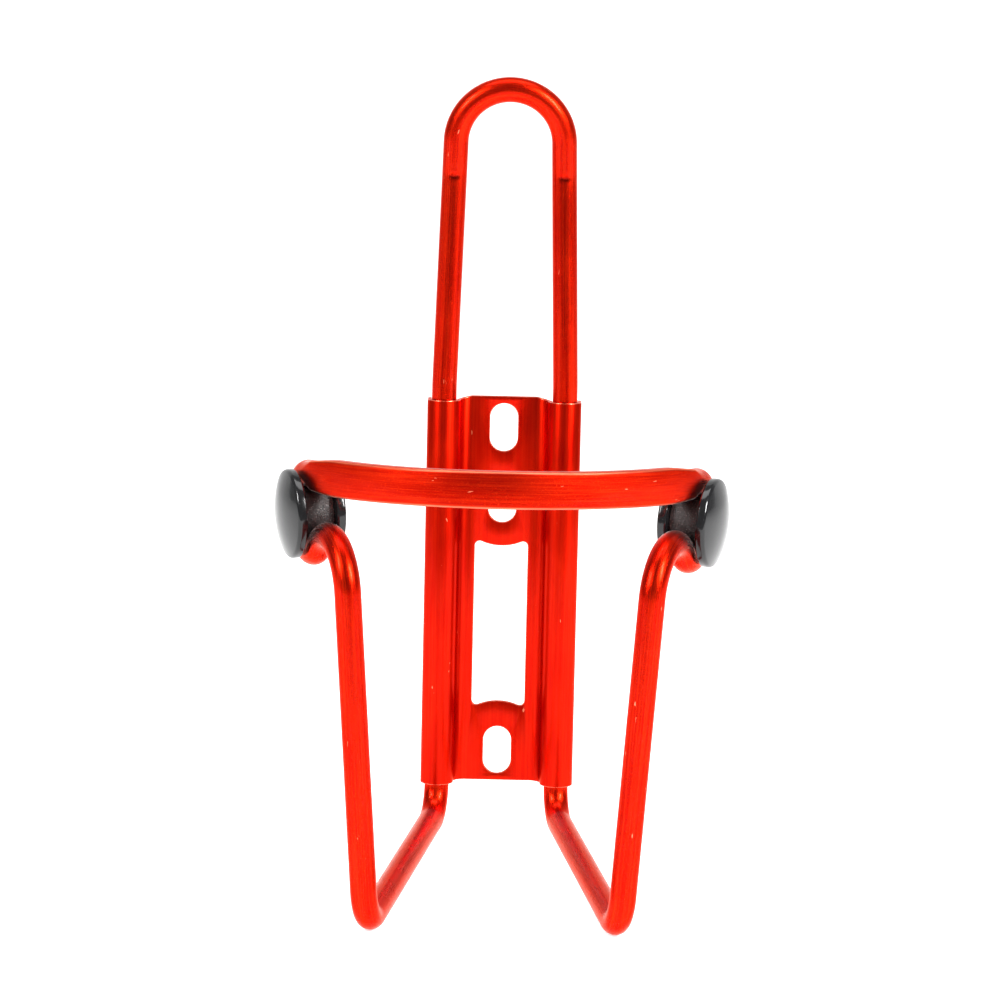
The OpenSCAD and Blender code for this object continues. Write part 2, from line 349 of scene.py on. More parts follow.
class Paint(Sheet):
    """A procedural material under construction."""

    def __init__(self, name):
        self.material = bpy.data.materials.new(name)
        self.material.use_nodes = True
        super().__init__(self.material.node_tree)
        self.tree.nodes.clear()
        self.output = self.add("ShaderNodeOutputMaterial")
        self.shader = self.add("ShaderNodeBsdfPrincipled")
        self.link(self.shader.outputs[0], self.output.inputs[0])

    def set(self, **values):
        for name, value in values.items():
            self.shader.inputs[name.replace("_", " ")].default_value = value

    def share(self, attribute):
        """A number that the mesh carries at each point."""
        return self.add("ShaderNodeAttribute", attribute_name=attribute).outputs["Fac"]

    def noise(self, cells, detail, roughness, label="", along=None, turn=(0, 0, 0)):
        """Noise with so many cells to a metre: one number, or one for each axis.

        The axes are the object's own, or those of the attribute named by along.
        """
        if along:
            source = self.add("ShaderNodeAttribute", attribute_name=along).outputs["Vector"]
        else:
            source = self.add("ShaderNodeTexCoord").outputs["Object"]
        mapping = self.add("ShaderNodeMapping")
        mapping.inputs["Scale"].default_value = cells if isinstance(cells, tuple) else (cells,) * 3
        mapping.inputs["Rotation"].default_value = turn
        self.link(source, mapping.inputs["Vector"])
        node = self.add("ShaderNodeTexNoise", label)
        node.inputs["Scale"].default_value = 1.0
        node.inputs["Detail"].default_value = detail
        node.inputs["Roughness"].default_value = roughness
        self.link(mapping.outputs[0], node.inputs["Vector"])
        return node.outputs["Fac"]

    def ramp(self, value, low, high, label=""):
        """A grey ramp between two stops, each a position and its grey."""
        node = self.add("ShaderNodeValToRGB", label)
        for element, (position, grey) in zip(node.color_ramp.elements, (low, high)):
            element.position = position
            element.color = (grey, grey, grey, 1.0)
        self.link(value, node.inputs[0])
        return node.outputs["Color"]

    def blend(self, share, a, b, label=""):
        """Colour a where share is 0 and b where it is 1."""
        node = self.add("ShaderNodeMix", label, data_type="RGBA")
        self.link(share, node.inputs[0])
        for socket, value in zip(node.inputs[6:8], (a, b)):
            if isinstance(value, bpy.types.NodeSocket):
                self.link(value, socket)
            else:
                socket.default_value = (*value, 1.0)
        return node.outputs[2]

    def bump(self, height, strength, distance, under=None, label=""):
        node = self.add("ShaderNodeBump", label)
        node.inputs["Strength"].default_value = strength
        node.inputs["Distance"].default_value = distance
        self.link(height, node.inputs["Height"])
        if under is not None:
            self.link(under, node.inputs["Normal"])
        return node.outputs[0]

    def done(self, colour, roughness, normal):
        self.link(colour, self.shader.inputs["Base Color"])
        self.link(roughness, self.shader.inputs["Roughness"])
        self.link(normal, self.shader.inputs["Normal"])
        return self.material


def anodised_rod(paint, finish):
    """Dyed drawn rod: lengthwise drawing lines, a brushed band, small rubs, painted glints on the
    grain, a painted highlight along the band's corners and painted shade in the press marks.
    """
    paint.set(Metallic=1.0, Coat_Weight=0.04, Coat_Roughness=0.12, Specular_Tint=(*finish.rim, 1))
    paint.set(Sheen_Weight=0.35, Sheen_Roughness=0.25, Sheen_Tint=(1.0, 0.9, 0.86, 1.0))
    cloud = paint.noise(60, 3.0, 0.6, "uneven dye")
    lines = paint.noise((40, 2600, 2600), 5.0, 0.65, "drawing lines", "grain")
    hairs = paint.noise((130, 7000, 5000), 2.0, 0.5, "brush hairs", "grain")
    sand = paint.noise(3900, 3.0, 0.7, "etched grain")
    flat = paint.share("band")
    edge = paint.share("rubbed_and_highlit")
    tone = paint.blend(paint.ramp(cloud, (0.3, 0.0), (0.7, 1.0)), finish.deep_red, finish.red)
    # Drawing lines lightened towards the glint colour: partly the grain's own tone, partly painted
    # highlight
    streak = paint.ramp(lines, (0.42, 0.0), (0.68, 0.32), "streaks")
    tone = paint.blend(streak, tone, finish.grain_and_painted_glint)
    dark = paint.ramp(lines, (0.30, 0.45), (0.44, 0.0), "dark lines")
    tone = paint.blend(dark, tone, finish.deep_red)
    # Painted highlight streaks along the brush hairs, on the flattened band only
    bright = paint.ramp(hairs, (0.54, 0.0), (0.72, 0.35), "bright hairs")
    tone = paint.blend(paint.math("MULTIPLY", bright, flat), tone, finish.grain_and_painted_glint)
    # Painted sparkle highlights on the etched grain
    spark = paint.ramp(sand, (0.58, 0.0), (0.70, 0.6), "sparkle")
    tone = paint.blend(spark, tone, finish.grain_and_painted_glint)
    pit = paint.ramp(sand, (0.30, 0.5), (0.42, 0.0), "pits")
    tone = paint.blend(pit, tone, finish.deep_red)
    rub = paint.noise((300, 1500, 1500), 2.0, 0.6, "specks", "grain")
    rub = paint.ramp(rub, (0.735, 0.0), (0.76, 1.0), "sparse")
    tone = paint.blend(rub, tone, finish.wear_and_highlight, "rubs")
    # Painted shade in the hollows of the press marks
    shadow = paint.math("MULTIPLY", paint.share("pressed"), 0.75)
    tone = paint.blend(shadow, tone, finish.mark, "press mark")
    # Painted highlight along the band's corners, also standing for rubbing, mixed towards the pale
    # edge colour
    wear_and_highlight = paint.math("MULTIPLY", edge, paint.ramp(hairs, (0.3, 0.4), (0.6, 0.9)))
    tone = paint.blend(wear_and_highlight, tone, finish.wear_and_highlight, "rubbed edge")
    rough = paint.ramp(cloud, (0.25, 0.22), (0.75, 0.31), "patchy gloss")
    rough = paint.math("ADD", rough, paint.math("MULTIPLY", streak, 0.12))
    rough = paint.math("ADD", rough, paint.math("MULTIPLY", flat, 0.06))
    relief = paint.bump(sand, 0.50, 0.00008, label="grain")
    relief = paint.bump(lines, 0.08, 0.00006, relief, "drawn")
    hairline = paint.math("MULTIPLY", hairs, flat)
    relief = paint.bump(hairline, 0.3, 0.00008, relief, "brushed")
    return paint.done(tone, rough, relief)


def anodised_sheet(paint, finish):
    """Dyed rolled sheet: upright rolling grain whose lighter streaks are partly painted highlight,
    and a satin etch.
    """
    paint.set(Metallic=1.0, Coat_Weight=0.04, Coat_Roughness=0.15, Specular_Tint=(*finish.rim, 1))
    cloud = paint.noise((90, 90, 45), 3.0, 0.6, "uneven dye")
    lines = paint.noise((3200, 3200, 60), 5.0, 0.6, "rolling lines")
    sand = paint.noise(6000, 2.0, 0.6, "etched grain")
    tone = paint.blend(paint.ramp(cloud, (0.3, 0.0), (0.7, 1.0)), finish.deep_red, finish.red)
    # Rolling lines lightened towards the glint colour: partly the grain's own tone, partly painted
    # highlight
    streak = paint.ramp(lines, (0.40, 0.0), (0.66, 0.14), "streaks")
    tone = paint.blend(streak, tone, finish.grain_and_painted_glint)
    rub = paint.noise((900, 900, 300), 2.0, 0.6, "specks")
    rub = paint.ramp(rub, (0.74, 0.0), (0.765, 1.0), "sparse")
    tone = paint.blend(rub, tone, finish.wear_and_highlight, "rubs")
    rough = paint.ramp(cloud, (0.25, 0.28), (0.75, 0.40), "patchy gloss")
    rough = paint.math("ADD", rough, paint.math("MULTIPLY", streak, 0.15))
    relief = paint.bump(sand, 0.14, 0.00006, label="grain")
    relief = paint.bump(lines, 0.06, 0.00006, relief, "rolled")
    return paint.done(tone, rough, relief)


def cut_edge_and_highlight(paint, finish):
    """Sheared edges of the sheet: paler, partly as bare metal and partly as a painted highlight,
    with the shear's fine lines.
    """
    paint.set(Metallic=1.0, Coat_Weight=0.25, Coat_Roughness=0.2)
    fine = paint.noise(4000, 3.0, 0.6, "shear lines")
    tone = paint.blend(paint.ramp(fine, (0.35, 0.15), (0.65, 0.8)), finish.red, finish.wear_and_highlight)
    rough = paint.ramp(fine, (0.3, 0.26), (0.7, 0.42))
    return paint.done(tone, rough, paint.bump(fine, 0.2, 0.00006))


def gloss_plastic(paint, finish):
    """Moulded glossy black: faint swirls, hairlines and dust."""
    paint.set(Specular_IOR_Level=0.4, Coat_Weight=0.0)
    swirl = paint.noise(260, 3.0, 0.6, "mould swirl")
    dust = paint.noise(2600, 2.0, 0.7, "dust")
    hair = paint.noise((500, 9000, 900), 2.0, 0.6, "hairlines", turn=(0.3, 0.4, 0.9))
    speck = paint.ramp(dust, (0.70, 0.0), (0.76, 0.35))
    tone = paint.blend(speck, finish.black, finish.dust)
    tone = paint.blend(paint.ramp(swirl, (0.3, 0.0), (0.7, 0.4)), tone, finish.swirl)
    rough = paint.ramp(swirl, (0.3, 0.10), (0.7, 0.17))
    rough = paint.math("ADD", rough, paint.math("MULTIPLY", speck, 0.5))
    relief = paint.bump(swirl, 0.12, 0.00015, label="soft wave")
    relief = paint.bump(hair, 0.05, 0.00004, relief, "hairlines")
    return paint.done(tone, rough, relief)


def grained_plastic(paint, finish):
    """Barrel of a spool: coarse matt grain with a few bright specks."""
    paint.set(Specular_IOR_Level=0.5)
    grain = paint.noise(2000, 3.0, 0.65, "grain")
    fine = paint.noise(4200, 2.0, 0.6, "fine grain")
    tone = paint.blend(paint.ramp(grain, (0.3, 0.0), (0.7, 1.0)), finish.black, finish.barrel)
    speck = paint.ramp(fine, (0.63, 0.0), (0.70, 0.8))
    tone = paint.blend(speck, tone, finish.fleck)
    rough = paint.ramp(grain, (0.3, 0.30), (0.7, 0.5))
    relief = paint.bump(grain, 0.9, 0.00030, label="grain")
    relief = paint.bump(fine, 0.8, 0.00014, relief, "fine")
    return paint.done(tone, rough, relief)


def floor_paint(paint, finish):
    """Matt pale studio floor with the faintest mottling."""
    paint.set(Specular_IOR_Level=0.1, Emission_Color=(1, 1, 1, 1), Emission_Strength=0.58)
    mottle = paint.noise(3, 3.0, 0.5)
    tone = paint.blend(paint.ramp(mottle, (0.3, 0.0), (0.7, 0.3)), finish.floor, finish.pale_floor)
    rough = paint.ramp(mottle, (0.3, 0.8), (0.7, 0.9))
    return paint.done(tone, rough, paint.bump(mottle, 0.02, 0.001))


MATERIALS = {
    "red_drawn_rod": anodised_rod,
    "red_rolled_sheet": anodised_sheet,
    "cut_edge_and_highlight": cut_edge_and_highlight,
    "spool_gloss": gloss_plastic,
    "spool_grain": grained_plastic,
    "studio_floor": floor_paint,
}


def material(name):
    """The named material, made on first use."""
    if name in bpy.data.materials:
        return bpy.data.materials[name]
    return MATERIALS[name](Paint(name), bpy.context.scene.cage_finishes)


# ---- centrelines of the rods


class Wire:
    """Points along a bent rod's centreline, with the share of flattening at each."""

    def __init__(self):
        self.points = []
        self.flat = []

    def add(self, point, flat=0.0):
        if self.points and (self.points[-1] - point).length < 2e-6:
            return
        self.points.append(point.copy())
        self.flat.append(flat)

    def bar(self, start, end, step=3 * MM):
        """Straight from start to end."""
        count = max(1, round((end - start).length / step))
        for i in range(count + 1):
            self.add(start.lerp(end, i / count))

    def arc(self, centre, start, axis, turn, step=0.45 * MM, flat=None):
        """Turns start about an axis through the centre."""
        spoke = start - centre
        count = max(4, round(abs(turn) * spoke.length / step))
        for i in range(count + 1):
            share = i / count
            spot = centre + Matrix.Rotation(turn * share, 3, axis) @ spoke
            self.add(spot, flat(share) if flat else 0.0)

    def through(self, corners, radii, step=3 * MM):
        """Bars between corners, with a bend of each radius at each inner corner."""
        here = corners[0]
        for before, corner, after, radius in zip(corners, corners[1:], corners[2:], radii):
            back = (before - corner).normalized()
            on = (after - corner).normalized()
            turn = math.pi - back.angle(on)
            cut = radius * math.tan(turn / 2)
            begin = corner + back * cut
            centre = corner + (back + on).normalized() * (radius / math.cos(turn / 2))
            self.bar(here, begin, step)
            self.arc(centre, begin, (begin - centre).cross(-back), turn)
            here = corner + on * cut
        self.bar(here, corners[-1], step)

    def with_mirror(self):
        """This wire joined to its mirror image, which comes first and shares its first point."""
        whole = Wire()
        for point, flat in zip(reversed(self.points), reversed(self.flat)):
            whole.add(Vector((-point.x, point.y, point.z)), flat)
        for point, flat in zip(self.points, self.flat):
            whole.add(point, flat)
        return whole

    def frames(self, across):
        """Across and upright directions at each point, carried from the middle without twist."""
        count = len(self.points)
        middle = count // 2
        tangents = []
        for i in range(count):
            a = self.points[max(0, i - 1)]
            b = self.points[min(count - 1, i + 1)]
            tangents.append((b - a).normalized())
        result = [None] * count
        for order in (range(middle, count), range(middle, -1, -1)):
            side = across
            for i in order:
                tangent = tangents[i]
                side = (side - tangent * side.dot(tangent)).normalized()
                result[i] = (side, side.cross(tangent).normalized())
        return result

    def guide(self, name, across):
        """A mesh line that carries the directions, for the sweep to follow."""
        mesh = bpy.data.meshes.new(name)
        edges = [(i, i + 1) for i in range(len(self.points) - 1)]
        mesh.from_pydata(self.points, edges, [])
        frames = self.frames(across)
        distance = [0.0]
        for a, b in zip(self.points, self.points[1:]):
            distance.append(distance[-1] + (b - a).length)
        for key, values in zip(("across", "upright"), zip(*frames)):
            layer = mesh.attributes.new(key, "FLOAT_VECTOR", "POINT")
            layer.data.foreach_set("vector", [c for v in values for c in v])
        for key, values in (("flat", self.flat), ("along", distance)):
            layer = mesh.attributes.new(key, "FLOAT", "POINT")
            layer.data.foreach_set("value", values)
        return mesh


def upper_wire(rod):
    """Centreline of the upper loop."""
    up = Vector((0, -math.sin(rod.loop_lean), math.cos(rod.loop_lean)))
    rise = (rod.loop_top - rod.loop_bend) / math.cos(rod.loop_lean) - rod.loop_radius
    y = -rod.depth
    centre = Vector((0, y, rod.loop_bend)) + up * rise
    side = Vector((1, 0, 0))
    lean = rod.loop_converge
    spring = centre + rod.loop_radius * (math.cos(lean) * side + math.sin(lean) * up)
    bend_x = spring.x + rise * math.tan(lean)
    knee = rod.loop_bend - (rod.spread - bend_x) / math.tan(lean)
    wire = Wire()
    top = centre + rod.loop_radius * up
    wire.arc(centre, top, side.cross(up), -(math.pi / 2 - lean))
    corners = [
        spring,
        Vector((bend_x, y, rod.loop_bend)),
        Vector((rod.spread, y, knee)),
        Vector((rod.spread, y, rod.joint)),
    ]
    # Gentle where the loop's legs straighten, and finely stepped for the press marks
    wire.through(corners, [rod.loop_bend_radius, 60 * MM], 0.3 * MM)
    mark = Vector((bend_x, y - rod.diameter / 2, rod.loop_bend + 0.1 * MM))
    return wire.with_mirror(), mark


def ring_frame(rod):
    """Sideways, ahead and normal directions of the grip ring, and its centre."""
    side = Vector((1, 0, 0))
    ahead = Vector((0, -math.cos(rod.ring_tilt), math.sin(rod.ring_tilt)))
    normal = Vector((0, math.sin(rod.ring_tilt), math.cos(rod.ring_tilt)))
    return side, ahead, normal, Vector((0, -rod.ring_depth, rod.ring_height))


def right_spool(rod, spool):
    """Centre, rise, run and axis of the right-hand spool."""
    side, ahead, normal, centre = ring_frame(rod)
    out = math.cos(rod.ring_start) * side + math.sin(rod.ring_start) * ahead
    run = -math.sin(rod.ring_start) * side + math.cos(rod.ring_start) * ahead
    rise = math.cos(rod.hook_lean) * normal + math.sin(rod.hook_lean) * out
    axis = math.cos(rod.hook_lean) * out - math.sin(rod.hook_lean) * normal
    rho = spool.barrel + spool.clearance + rod.diameter / 2
    return centre + rod.ring_radius * out - rho * rise, rise, run, axis, rho


def lower_wire(rod, spool):
    """Centreline of the lower rod: ring, hooks, legs and base."""
    side, ahead, normal, centre = ring_frame(rod)
    hub, rise, run, axis, rho = right_spool(rod, spool)
    wire = Wire()
    front = centre + rod.ring_radius * ahead
    band = math.pi / 2 - rod.ring_start - rod.flatten
    turn_axis = ahead.cross(side)
    wire.arc(centre, front, turn_axis, band, 0.6 * MM, lambda k: 1.0)

    def easing(k):
        k = 1.0 - k
        return k * k * (3 - 2 * k)

    start = wire.points[-1]
    wire.arc(centre, start, turn_axis, rod.flatten, 0.4 * MM, easing)
    over = hub + rho * rise
    wire.arc(hub, over, rise.cross(-run), math.pi + rod.hook_wrap, 0.4 * MM)
    end = wire.points[-1]
    ahead_up = math.cos(rod.hook_wrap) * run + math.sin(rod.hook_wrap) * rise
    crest = end + ahead_up * rod.hook_reach
    corner = Vector(rod.corner)
    turn = ahead_up.angle(corner - crest)
    radius = (rod.hook_reach - rod.hook_straight) / math.tan(turn / 2)
    y = -rod.depth
    corners = [
        end,
        crest,
        corner,
        Vector((rod.spread, y, rod.base_height)),
        Vector((rod.spread, y, rod.joint - rod.joint_gap)),
    ]
    wire.through(corners, [radius, rod.corner_bend, rod.base_bend])
    return wire.with_mirror()


# ---- the rod sweep


# How steeply the section's points spread over a flat side from its middle
FLAT_SPREAD = 20.0
# How many times sooner the band's corners turn crisp than the rod is flattened
CORNER_LEAD = 3.0


def rod_tree():
    """Geometry nodes that sweep a rod's section along its guide."""
    name = "rod_sweep"
    if name in bpy.data.node_groups:
        return bpy.data.node_groups[name]
    tree = bpy.data.node_groups.new(name, "GeometryNodeTree")
    for title, kind in (
        ("Guide", "Geometry"),
        ("Diameter", "Float"),
        ("Band Height", "Float"),
        ("Band Thickness", "Float"),
        ("Band Corner", "Float"),
        ("Sides", "Int"),
        ("Mark Place", "Vector"),
        ("Mark Size", "Float"),
        ("Mark Depth", "Float"),
        ("Material", "Material"),
    ):
        tree.interface.new_socket(title, in_out="INPUT", socket_type="NodeSocket" + kind)
    tree.interface.new_socket("Rod", in_out="OUTPUT", socket_type="NodeSocketGeometry")
    s = Sheet(tree)
    given = s.add("NodeGroupInput").outputs

    def named(key, kind):
        node = s.add("GeometryNodeInputNamedAttribute", key, data_type=kind)
        node.inputs["Name"].default_value = key
        return node.outputs["Attribute"]

    def keep(geometry, value, key, kind="FLOAT"):
        node = s.add("GeometryNodeStoreNamedAttribute", key, data_type=kind, domain="POINT")
        node.inputs["Name"].default_value = key
        s.link(geometry, node.inputs["Geometry"])
        s.link(value, node.inputs["Value"])
        return node.outputs["Geometry"]

    def fade(value, start, end, label):
        """1 up to start, falling softly to 0 at end."""
        node = s.add("ShaderNodeMapRange", label, interpolation_type="SMOOTHSTEP")
        s.feed(node, value, start, end, 1.0, 0.0)
        return node.outputs["Result"]

    # The centreline's place is kept before the sweep moves the points off it
    line = s.add("GeometryNodeMeshToCurve")
    s.link(given["Guide"], line.inputs["Mesh"])
    place = s.add("GeometryNodeInputPosition").outputs[0]
    line_kept = keep(line.outputs[0], place, "centre", "FLOAT_VECTOR")

    # The section is a circle of radius one whose place gives cosine and sine
    section = s.add("GeometryNodeCurvePrimitiveCircle")
    section.inputs["Radius"].default_value = 1.0
    s.link(given["Sides"], section.inputs["Resolution"])
    spot = s.add("GeometryNodeInputPosition").outputs[0]
    ring_kept = keep(section.outputs["Curve"], spot, "spoke", "FLOAT_VECTOR")
    small = s.add("GeometryNodeTransform")
    s.link(ring_kept, small.inputs["Geometry"])
    small.inputs["Scale"].default_value = (MM, MM, MM)
    tube = s.add("GeometryNodeCurveToMesh")
    s.link(line_kept, tube.inputs["Curve"])
    s.link(small.outputs[0], tube.inputs["Profile Curve"])
    tube.inputs["Fill Caps"].default_value = True

    # Half height and half thickness, from round to flattened
    flat = named("flat", "FLOAT")
    half = s.math("MULTIPLY", given["Diameter"], 0.5)

    def toward(target):
        to = s.math("SUBTRACT", s.math("MULTIPLY", target, 0.5), half)
        return s.math("ADD", half, s.math("MULTIPLY", to, flat))

    tall = toward(given["Band Height"])
    thick = toward(given["Band Thickness"])
    crisp_soon = s.math("MINIMUM", s.math("MULTIPLY", flat, CORNER_LEAD), 1.0)
    corner = s.math("SUBTRACT", given["Band Corner"], half)
    corner = s.math("ADD", half, s.math("MULTIPLY", corner, crisp_soon))
    spoke = s.split(named("spoke", "FLOAT_VECTOR"))

    def reach(size, share):
        """How far the section reaches: to its corner's centre and on round it."""
        side = s.math("MULTIPLY", share, FLAT_SPREAD)
        side = s.math("MINIMUM", s.math("MAXIMUM", side, -1.0), 1.0)
        flat_part = s.math("MULTIPLY", s.math("SUBTRACT", size, corner), side)
        return s.math("ADD", flat_part, s.math("MULTIPLY", corner, share))

    up = reach(tall, spoke["Y"])
    out = reach(thick, spoke["X"])
    offset = s.vector(
        "ADD",
        s.vector("SCALE", named("across", "FLOAT_VECTOR"), scale=out),
        s.vector("SCALE", named("upright", "FLOAT_VECTOR"), scale=up),
    )
    skin = s.vector("ADD", named("centre", "FLOAT_VECTOR"), offset)

    # Marks pressed into the front on both sides: a half-moon with a crisp top and a soft rim
    skin_parts = s.split(skin)
    right = s.join(s.math("ABSOLUTE", skin_parts["X"]), skin_parts["Y"], skin_parts["Z"])
    gap = s.vector("SUBTRACT", right, given["Mark Place"])
    away = s.math("DIVIDE", s.vector("LENGTH", gap), given["Mark Size"])
    level = s.math("DIVIDE", s.split(gap)["Z"], given["Mark Size"])
    rim = fade(away, 0.55, 1.0, "soft rim")
    press = s.math("MULTIPLY", rim, fade(level, -0.02, 0.18, "crisp top"))
    depth = s.math("MULTIPLY", press, given["Mark Depth"])
    final = s.vector("ADD", skin, s.join(0.0, depth, 0.0))
    moved = s.add("GeometryNodeSetPosition")
    s.link(tube.outputs[0], moved.inputs["Geometry"])
    s.link(final, moved.inputs["Position"])

    # What the finish reads: a lengthwise grain, the flattened share and the band's corners, which
    # carry a painted highlight that also stands for rubbing
    grain = s.join(named("along", "FLOAT"), up, out)
    geometry = keep(moved.outputs[0], grain, "grain", "FLOAT_VECTOR")
    geometry = keep(geometry, flat, "band")
    geometry = keep(geometry, press, "pressed")
    # Share of the band's corners, where the rod's finish paints a highlight that also stands for
    # rubbing
    corner_share = s.math("MULTIPLY", spoke["X"], spoke["Y"])
    edge = s.math("POWER", s.math("MULTIPLY", s.math("ABSOLUTE", corner_share), 2.0), 5.0)
    geometry = keep(geometry, s.math("MULTIPLY", edge, crisp_soon), "rubbed_and_highlit")
    for key in ("centre", "spoke", "across", "upright", "flat", "along"):
        drop = s.add("GeometryNodeRemoveAttribute", key)
        drop.inputs["Name"].default_value = key
        s.link(geometry, drop.inputs["Geometry"])
        geometry = drop.outputs[0]
    for kind in ("SetShadeSmooth", "RealizeInstances", "SetMaterial"):
        node = s.add("GeometryNode" + kind)
        s.link(geometry, node.inputs["Geometry"])
        geometry = node.outputs[0]
    s.link(given["Material"], node.inputs["Material"])
    s.link(geometry, s.add("NodeGroupOutput").inputs[0])
    return tree


def sweep(name, wire, across, rod, mark=None):
    """Runs the rod sweep along a wire and returns the plain piece."""
    tree = rod_tree()
    obj = add_object(name + "_guide", wire.guide(name + "_guide", across))
    modifier = obj.modifiers.new("rod_sweep", "NODES")
    modifier.node_group = tree
    values = {
        "Diameter": rod.diameter,
        "Band Height": rod.band_height,
        "Band Thickness": rod.band_thickness,
        "Band Corner": rod.band_corner,
        "Sides": rod.sides,
        "Mark Place": mark or (0, 0, 1),
        "Mark Size": rod.mark_reach,
        "Mark Depth": rod.mark_depth if mark else 0.0,
        "Material": material("red_drawn_rod"),
    }
    for item in tree.interface.items_tree:
        if item.item_type == "SOCKET" and item.in_out == "INPUT" and item.name in values:
            modifier[item.identifier] = values[item.name]
    piece = settle(obj, name)
    work = bmesh.new()
    work.from_mesh(piece.data)
    shade(close(work, piece.data), 50.0)
    return piece


# ---- the folded plate


def arc_points(x, z, radius, start, end, steps):
    """Points along an arc about (x, z), from one angle to another."""
    points = []
    for i in range(steps + 1):
        a = start + (end - start) * i / steps
        points.append((x + radius * math.cos(a), z + radius * math.sin(a)))
    return points


def rounded_slot(width, height, z, steps=20):
    """Outline of an upright slot."""
    r = width / 2
    straight = height / 2 - r
    top = arc_points(0.0, z + straight, r, 0.0, math.pi, steps)
    return top + arc_points(0.0, z - straight, r, math.pi, 2 * math.pi, steps)


def window_outline(plate, steps=16):
    """Outline of the window, with its curved ends and small rounded corners."""
    half = plate.window_width / 2
    big, small = plate.window_end, plate.corner
    sag = big - math.sqrt(big * big - half * half)
    # Each corner circle touches the side and the end's big circle
    x = half - small
    drop = math.sqrt((big + small) ** 2 - x * x)
    corner_end = math.pi - math.atan2(drop, x)
    reach = math.asin(x / (big + small))
    points = []
    for z, way in ((plate.window_top, 1), (plate.window_bottom, -1)):
        middle = z + way * (big - sag)
        corner = arc_points(x, middle - way * drop, small, 0.0, way * corner_end, 6)
        start = way * (reach - math.pi / 2)
        end = way * (-reach - math.pi / 2)
        run = corner + arc_points(0.0, middle, big, start, end, steps)[1:-1]
        run += [(-px, pz) for px, pz in reversed(corner)]
        points += [(way * px, pz) for px, pz in run]
    return points


def plate_section(plate, rod):
    """Right half of the sheet's middle line, from the panel's edge to the flange's edge."""
    half = plate.sheet / 2
    channel = rod.diameter / 2 + rod.clearance
    web_in = rod.spread - channel - plate.sheet
    bend_x = web_in - plate.web_bend
    bend_y = -plate.sheet - plate.web_bend
    points = arc_points(bend_x, bend_y, plate.web_bend + half, math.pi / 2, 0.0, 12)
    points += arc_points(rod.spread, -rod.depth, channel + half, math.pi, 2 * math.pi, 32)
    points.append((rod.spread + channel + half, -plate.flange_gap))
    return points


def plate_mesh(plate, rod):
    """Middle surface of the folded sheet with its slots and window."""
    section = plate_section(plate, rod)
    half = plate.sheet / 2
    work = bmesh.new()
    edge_x = section[0][0]
    low, high = plate.bottom, plate.top
    rim = [(-edge_x, low), (edge_x, low), (edge_x, high), (-edge_x, high)]
    outlines = [rim, window_outline(plate)]
    for z in (plate.slot_pitch / 2, plate.middle_slot, -plate.slot_pitch / 2):
        outlines.append(rounded_slot(plate.slot_width, plate.slot_length, z))
    edges = []
    for outline in outlines:
        ring = [work.verts.new((x, -half, z)) for x, z in outline]
        if outline is rim:
            corners = ring
        edges += [work.edges.new((a, b)) for a, b in zip(ring, ring[1:] + ring[:1])]
    bmesh.ops.triangle_fill(work, edges=edges, use_beauty=True, normal=(0, -1, 0))
    for side, low, high in ((1, corners[1], corners[2]), (-1, corners[0], corners[3])):
        for x, y in section[1:]:
            slope = min(1.0, (x - edge_x) / plate.web_bend)
            a = work.verts.new((side * x, y, plate.bottom))
            b = work.verts.new((side * x, y, plate.top - plate.channel_drop * slope))
            work.faces.new((low, a, b, high))
            low, high = a, b
    bmesh.ops.remove_doubles(work, verts=work.verts, dist=1e-7)
    return close(work, bpy.data.meshes.new("plate_sheet"))


# ---- the spools


def fillet(r, z, radius, start, end, steps=6):
    """An arc about (r, z), with angles in degrees from the radial direction."""
    return arc_points(r, z, radius, math.radians(start), math.radians(end), steps)


def dome_points(crown, ball, limit, way, steps):
    """From the crown of a dome outwards, over a ball's radius and up to an angle."""
    points = []
    for i in range(steps + 1):
        a = limit * i / steps
        points.append((ball * math.sin(a), crown - way * ball * (1 - math.cos(a))))
    return points


def cap_profile(s):
    """The whole cap: dome, rim, barrel and the bore for the peg."""
    half = s.barrel_length / 2
    top = half + s.cap_rim
    base, rise = s.cap - s.cap_edge, s.cap_dome + s.cap_edge
    ball = (base * base + rise * rise - s.cap_edge**2) / (2 * (rise - s.cap_edge))
    limit = math.asin(base / (ball - s.cap_edge))
    points = dome_points(top + s.cap_dome, ball, limit, 1, 16)
    points += fillet(base, top - s.cap_edge, s.cap_edge, 85 - math.degrees(limit), 0, 8)
    points += fillet(s.cap - s.cap_inner, half + s.cap_inner, s.cap_inner, 0, -90)
    margin, chamfer = 0.2 * MM, 0.12 * MM
    barrel = [
        (s.barrel, half),
        (s.barrel, half - margin),
        (s.barrel, -half + margin),
        (s.barrel, -half + chamfer),
        (s.barrel - chamfer, -half),
    ]
    bore = [
        (s.bore + chamfer, -half),
        (s.bore, -half + chamfer),
        (s.bore, -half + s.bore_depth - chamfer),
        (s.bore - chamfer, -half + s.bore_depth),
        (0.0, -half + s.bore_depth),
    ]
    start = len(points)
    return points + barrel + bore, range(start, start + len(barrel) - 1)


def button_profile(s):
    """The inner disc with its snap peg."""
    half = s.barrel_length / 2
    low = -half - s.button_rim
    base, rise = s.button - s.edge, s.button_dome
    ball = (base * base + rise * rise) / (2 * rise)
    points = dome_points(low - rise, ball, math.asin(base / ball), -1, 14)
    points += fillet(base, low + s.edge, s.edge, -85, 0)
    points += fillet(base, -half - s.edge, s.edge, 0, 90)
    root, tip, taper = 0.1 * MM, 0.8 * MM, 0.6 * MM
    points += [
        (s.peg + root, -half),
        (s.peg, -half + root),
        (s.peg, -half + s.peg_length - tip),
        (s.bore - taper, -half + s.peg_length),
        (0.0, -half + s.peg_length),
    ]
    return points, ()


